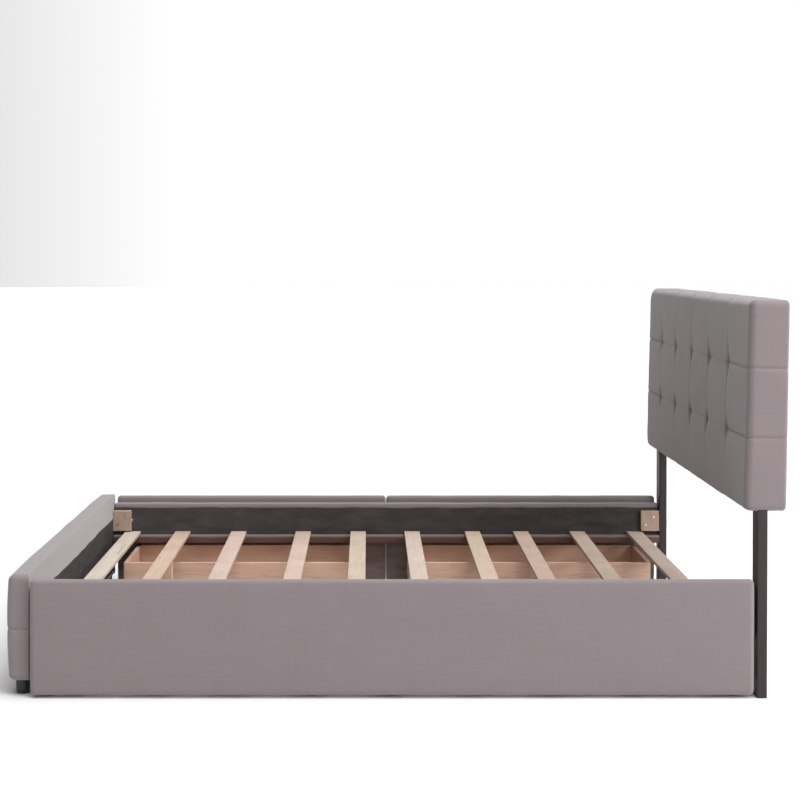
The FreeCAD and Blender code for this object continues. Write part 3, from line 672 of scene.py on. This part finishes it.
def lathe(name, profile, material, steps=48):
    """A turned piece round Z from its outline of (radius, height)."""
    points = []
    faces = []
    for step in range(steps):
        angle = 2 * math.pi * step / steps
        points += [(r * math.cos(angle), r * math.sin(angle), h) for r, h in profile]
    size = len(profile)
    for step in range(steps):
        after = (step + 1) % steps
        for i in range(size - 1):
            faces.append([step * size + i, after * size + i, after * size + i + 1, step * size + i + 1])
    thing = mesh_object(name, points, faces, material)
    shell = bmesh.new()
    shell.from_mesh(thing.data)
    bmesh.ops.remove_doubles(shell, verts=shell.verts, dist=1e-6)
    bmesh.ops.recalc_face_normals(shell, faces=shell.faces)
    shell.to_mesh(thing.data)
    shell.free()
    return thing


def make_lining(name, low, high, axis, body, seed, node,
                raised=0.0, lowered=0.0, wave=1.0, cloth=LINING):
    """A stapled cloth lining on the face that looks along the given axis, with a wavy upper edge."""
    top = high.z - lowered

    def shape(points):
        out = points.copy()
        along = points.copy()
        along[:, 2] = 0
        upper = smooth_step((points[:, 2] - (top - 0.02)) / 0.02)
        out[:, 2] += upper * wave * (wobble(along, 0.003, 9.0, seed) + wobble(along, 0.0012, 40.0, seed + 1))
        return out

    new_low = Vector((low.x, low.y, low.z + raised))
    new_high = Vector((high.x, high.y, top))
    cells = [0.015, 0.015, 0.015]
    cells[axis] = 0.003
    piece = soft_box(name, new_low, new_high, LINING_EDGE, cells, cloth, shape)
    put(piece, body, "lining", node)


# ---------------------------------------------------------------- rails, slats and small wood
RAIL_EDGE = 0.012
RAIL_CELLS = (0.014, 0.01, 0.01)
SLAT_EDGE = 0.0014
SLAT_CELLS = (0.02, 0.05, 0.006)


def make_rails():
    for index, (low, high) in enumerate(solids("rail_covers")):
        side = "near" if index == 0 else "far"
        inner = high.y if side == "near" else low.y
        seed = 41 + index

        def shape(points):
            out = points.copy()
            rise = smooth_step((points[:, 2] - (high.z - 0.01)) / 0.01)
            out[:, 2] += rise * wobble(points, 0.0012, 8.0, seed)
            face = smooth_step((0.004 - np.abs(points[:, 1] - inner)) / 0.003)
            out[:, 1] += np.sign(inner) * face * 0.0012
            return out

        cover = soft_box(f"rail_upholstery_{side}", low, high, RAIL_EDGE, RAIL_CELLS, FABRIC, shape)
        put(cover, ROOT, "upholstery", "rail_covers", f"rail_board_{side}")
    for index, (low, high) in enumerate(solids("rail_linings")):
        side = "near" if index == 0 else "far"
        make_lining(f"rail_inner_lining_{side}", low, high, 1, ROOT, 51 + index, "rail_linings")


def board(name, low, high, material, body, slot, node, edge=0.0012, cell=0.05, bend=0.0, seed=0):
    """A sawn board with eased edges and, where asked, a slight warp."""
    def shape(points):
        out = points.copy()
        if bend:
            centre = (np.array(low) + np.array(high)) / 2
            half = max(high[a] - low[a] for a in range(3)) / 2
            along = (points[:, 1] - centre[1]) / half
            across = points[:, 0] - centre[0]
            out[:, 2] += bend * math.sin(seed * 1.9) * along * across * 12
            out[:, 0] += bend * math.cos(seed * 2.3) * (1 - along ** 2)
        return out

    piece = soft_box(name, low, high, edge, cell, material, shape)
    put(piece, body, slot, node)
    return piece


def make_slats():
    for index, tint in enumerate(SLAT_TINTS):
        node = f"slat_{index + 1:02d}"
        low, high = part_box(node)
        pale = shade(linear(*tint), SLAT_SHADE)
        wood = timber(f"slat_pine_{index + 1:02d}", pale, shade(pale, SLAT_LATEWOOD), roughness=0.6,
                      knots=0.45, seed=1.0 + index * 1.37, figure=0.7 + 0.12 * (index % 4))
        board(f"{node}_plank", low, high, wood, ROOT, "slat_wood", node, SLAT_EDGE, SLAT_CELLS,
              bend=0.0007, seed=index + 1)


def make_small_wood():
    for index, (low, high) in enumerate(solids("slat_cleats")):
        board(f"slat_ledge_{index + 1}", low, high, LEDGE, ROOT, "ledge_wood", "slat_cleats", 0.001)
    for index, (low, high) in enumerate(solids("corner_blocks")):
        def rough(points, index=index, high=high):
            out = points.copy()
            out[:, 0] += wobble(points * np.array((0, 1, 1)), 0.0018, 160.0, 60 + index)
            out[:, 2] += wobble(points * np.array((1, 1, 0)), 0.0012, 90.0, 70 + index)
            return out

        block = soft_box(f"corner_block_{index + 1}", low, high, 0.0012, 0.004, BLOCK_WOOD, rough)
        put(block, ROOT, "slat_wood", "corner_blocks")
    for index, (low, high) in enumerate(solids("support_posts")):
        board(f"support_post_{index + 1}", low, high, POST_WOOD, ROOT, "slat_wood", "support_posts",
              edge=0.0015)


# ---------------------------------------------------------------- fronts, drawers, trundle
FRONT_EDGE = 0.0122
FRONT_CELLS = (0.014, 0.008, 0.012)
FRONT_BACK_GAP = 0.0012
FRONT_PULL = 0.0022
FRONT_END_PUFF = 0.0013
BOX_EDGE = 0.0008
WHEEL_BORE = 0.00305
WHEEL_DISH = 0.0014
TREAD_ROUND = 0.003
TREAD_EASE = 0.0012


def make_front(prefix, body, side, seed):
    """An upholstered front and the lining stapled on its back.

    side is -1 on the bed's near side and 1 on its far side.
    """
    node = f"{prefix}_front_cover"
    low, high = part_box(node)
    middle = (low + high) / 2

    def shape(points):
        out = points.copy()
        x, y, z = points.T
        level = (z - middle.z) / (high.z - low.z) * 2
        along = (x - middle.x) / (high.x - low.x) * 2
        outer = smooth_step((np.abs(y) - abs(middle.y)) / 0.008)
        pull = FRONT_PULL * (1 - (1 - level ** 6) * (1 - along ** 30))
        slack = wobble(points * np.array((0.5, 1, 1)), 0.0011, 5.0, seed)
        ripples = wobble(points, 0.0005, 22.0, seed + 1)
        out[:, 1] -= np.sign(middle.y) * outer * (pull + np.abs(slack) + ripples * 0.6 + 0.0003)
        tip = smooth_step((np.abs(x - middle.x) - (high.x - low.x) / 2 + 0.004) / 0.004)
        out[:, 0] += np.sign(x - middle.x) * tip * FRONT_END_PUFF * (1 - level ** 8)
        rise = smooth_step((np.abs(z - middle.z) - ((high.z - low.z) / 2 - 0.008)) / 0.008)
        out[:, 2] -= np.sign(z - middle.z) * rise * np.abs(wobble(points, 0.0014, 6.0, seed + 2))
        return out

    low = Vector(low)
    high = Vector(high)
    if side < 0:
        high.y -= FRONT_BACK_GAP
    else:
        low.y += FRONT_BACK_GAP
    cover = soft_box(f"{prefix}_front_upholstery", low, high, FRONT_EDGE, FRONT_CELLS, FABRIC, shape)
    put(cover, body, "upholstery", node, f"{prefix}_front_board")
    lining_low, lining_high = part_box(f"{prefix}_front_lining")
    # The backing uses the paler lining colour, which is painted light.
    make_lining(f"{prefix}_front_backing", lining_low, lining_high, 1, body, seed + 3,
                f"{prefix}_front_lining", raised=0.004, lowered=0.026, cloth=FRONT_LINING_PAINTED_LIGHT)


def make_drawer(prefix, seed):
    make_front(prefix, prefix, 1, seed)
    for part in ("box_front", "box_back", "box_bottom"):
        node = f"{prefix}_{part}"
        low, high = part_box(node)
        board(f"{node}_panel", low, high, BOX_WOOD_X, prefix, "drawer_wood", node, BOX_EDGE)
    for index, (low, high) in enumerate(solids(f"{prefix}_box_sides")):
        board(f"{prefix}_box_side_{index + 1}", low, high, BOX_WOOD_Y, prefix, "drawer_wood",
              f"{prefix}_box_sides", BOX_EDGE)
    finish_casters(prefix)


def make_trundle():
    make_front("trundle", "trundle", -1, 81)
    for node, wood in (("trundle_frame_back", BOX_WOOD_X), ("trundle_frame_ends", BOX_WOOD_Y)):
        for index, (low, high) in enumerate(solids(node)):
            board(f"{node}_board_{index + 1}", low, high, wood, "trundle", "drawer_wood", node, 0.001)
    for index, (low, high) in enumerate(solids("trundle_bearers")):
        board(f"trundle_bearer_{index + 1}", low, high, BEARER, "trundle", "ledge_wood", "trundle_bearers")
    for index, (low, high) in enumerate(solids("trundle_slats")):
        pale = shade(linear(*SLAT_TINTS[(index * 3) % len(SLAT_TINTS)]), SLAT_SHADE)
        wood = timber(f"trundle_pine_{index + 1}", pale, shade(pale, SLAT_LATEWOOD), roughness=0.6,
                      knots=0.4, seed=20.0 + index, figure=0.8)
        board(f"trundle_slat_{index + 1}", low, high, wood, "trundle", "slat_wood", "trundle_slats",
              SLAT_EDGE, SLAT_CELLS, bend=0.0005, seed=index + 3)
    finish_casters("trundle")


def wheel_profile(radius, half):
    """A wheel's closed outline of (radius, place along its axle), with a hub, dished faces and a tread."""
    face = [(WHEEL_BORE, -half), (radius * 0.36, -half), (radius * 0.42, -half + WHEEL_DISH),
            (radius * 0.74, -half + WHEEL_DISH), (radius * 0.8, -half), (radius * 0.93, -half),
            (radius * 0.985, -half + TREAD_EASE), (radius, -half + TREAD_ROUND)]
    return face + [(r, -place) for r, place in reversed(face)] + face[:1]


def finish_casters(prefix):
    """Zinc housings from the CAD, and turned wheels with a raised tread and a dished face."""
    paint(f"{prefix}_caster_housings", ZINC)
    turn = Matrix.Rotation(math.pi / 2, 4, "Y")
    for row in ("inner", "outer"):
        node = f"{prefix}_wheels_{row}"
        for index, (low, high) in enumerate(solids(node)):
            profile = wheel_profile((high.z - low.z) / 2, (high.x - low.x) / 2)
            roller = lathe(f"{node}_roller_{index + 1}", profile, WHEEL_PLASTIC)
            roller.data.transform(Matrix.Translation((low + high) / 2) @ turn)
            put(roller, node, "wheel_plastic", node)


def paint(node, material):
    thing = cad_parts[node]
    thing.data.materials.clear()
    thing.data.materials.append(material)


# ---------------------------------------------------------------- stage
FLOOR_HALF = 60
FLOOR_GREY = (0.68, 0.68, 0.68)

# The studio is white except towards the foot, where it fades to dark above a haze at the horizon.
FOOT_SIDE_FADE = (("From Min", -0.62), ("From Max", -0.12), ("To Min", 0.0), ("To Max", 1.0))
HORIZON_HAZE = (("From Min", 0.04), ("From Max", 0.20), ("To Min", 0.6), ("To Max", 0.0))

OVERHEAD_ENERGY = 2.9
OVERHEAD_SPREAD = math.radians(50)
OVERHEAD_FROM = (0.30, -0.26, 0.92)

SIDE_LIGHT_SIZE = (2.0, 1.6)
SIDE_LIGHT_POWER = 82
SIDE_LIGHT_PLACE = (3.2, -3.6, 2.2)
SIDE_LIGHT_TARGET = (0.9, 0, 0.7)

# The camera was fitted to the photograph: focal length as a share of the sensor's width, and so on.
SENSOR_WIDTH = 36
FOCAL_SHARE = 2.048
CAMERA_PITCH = 0.9
SHIFT_X = 0.0394
SHIFT_Y = -0.14809
CAMERA_PLACE = (-0.0835, -5.4664, 1.2603)


def place_on_stage(name, data, rotation, place=(0, 0, 0)):
    thing = bpy.data.objects.new(name, data)
    thing.location = place
    thing.rotation_euler = rotation
    bpy.context.scene.collection.objects.link(thing)
    return thing


def make_floor():
    n = Nodes("pale_floor")
    n.finish(FLOOR_GREY, 0.9, Specular_IOR_Level=0.1)
    corners = [(-FLOOR_HALF, -FLOOR_HALF, 0), (FLOOR_HALF, -FLOOR_HALF, 0),
               (FLOOR_HALF, FLOOR_HALF, 0), (-FLOOR_HALF, FLOOR_HALF, 0)]
    mesh_object("studio_floor", corners, [[0, 1, 2, 3]], n.material, False)


def make_studio():
    world = bpy.data.worlds.new("studio")
    bpy.context.scene.world = world
    world.use_nodes = True
    sky = world.node_tree
    way = sky.nodes.new("ShaderNodeTexCoord")
    split = sky.nodes.new("ShaderNodeSeparateXYZ")
    sky.links.new(way.outputs["Generated"], split.inputs[0])
    brighter = sky.nodes.new("ShaderNodeMath")
    brighter.operation = "MAXIMUM"
    for index, (axis, settings) in enumerate(((0, FOOT_SIDE_FADE), (2, HORIZON_HAZE))):
        fade = sky.nodes.new("ShaderNodeMapRange")
        sky.links.new(split.outputs[axis], fade.inputs["Value"])
        for name, setting in settings:
            fade.inputs[name].default_value = setting
        sky.links.new(fade.outputs[0], brighter.inputs[index])
    background = sky.nodes["Background"]
    background.inputs["Color"].default_value = (1, 1, 1, 1)
    sky.links.new(brighter.outputs[0], background.inputs["Strength"])


def make_lights():
    sun = bpy.data.lights.new("overhead", "SUN")
    sun.energy = OVERHEAD_ENERGY
    sun.angle = OVERHEAD_SPREAD
    place_on_stage("overhead", sun, Vector(OVERHEAD_FROM).to_track_quat("Z", "Y").to_euler())

    side = bpy.data.lights.new("camera_side", "AREA")
    side.shape = "RECTANGLE"
    side.size, side.size_y = SIDE_LIGHT_SIZE
    side.energy = SIDE_LIGHT_POWER
    aim = Vector(SIDE_LIGHT_TARGET) - Vector(SIDE_LIGHT_PLACE)
    place_on_stage("camera_side", side, aim.to_track_quat("-Z", "Y").to_euler(), SIDE_LIGHT_PLACE)


def make_camera():
    camera = bpy.data.cameras.new("photo_camera")
    camera.sensor_width = SENSOR_WIDTH
    camera.lens = SENSOR_WIDTH * FOCAL_SHARE
    camera.shift_x = SHIFT_X
    camera.shift_y = SHIFT_Y
    pose = (math.radians(90 - CAMERA_PITCH), 0, 0)
    bpy.context.scene.camera = place_on_stage("photo_camera", camera, pose, CAMERA_PLACE)


def make_stage():
    """Pale floor, white studio, an overhead light and one at the camera's side, and the photo's camera."""
    make_floor()
    make_studio()
    make_lights()
    make_camera()
    bpy.context.scene.view_settings.view_transform = "Standard"


make_headboard()
make_footboard()
make_rails()
make_slats()
make_small_wood()
make_drawer("drawer_left", 21)
make_drawer("drawer_right", 27)
make_trundle()
for screw_node in ("frame_bolts", "frame_screws"):
    paint(screw_node, ZINC)
make_stage()
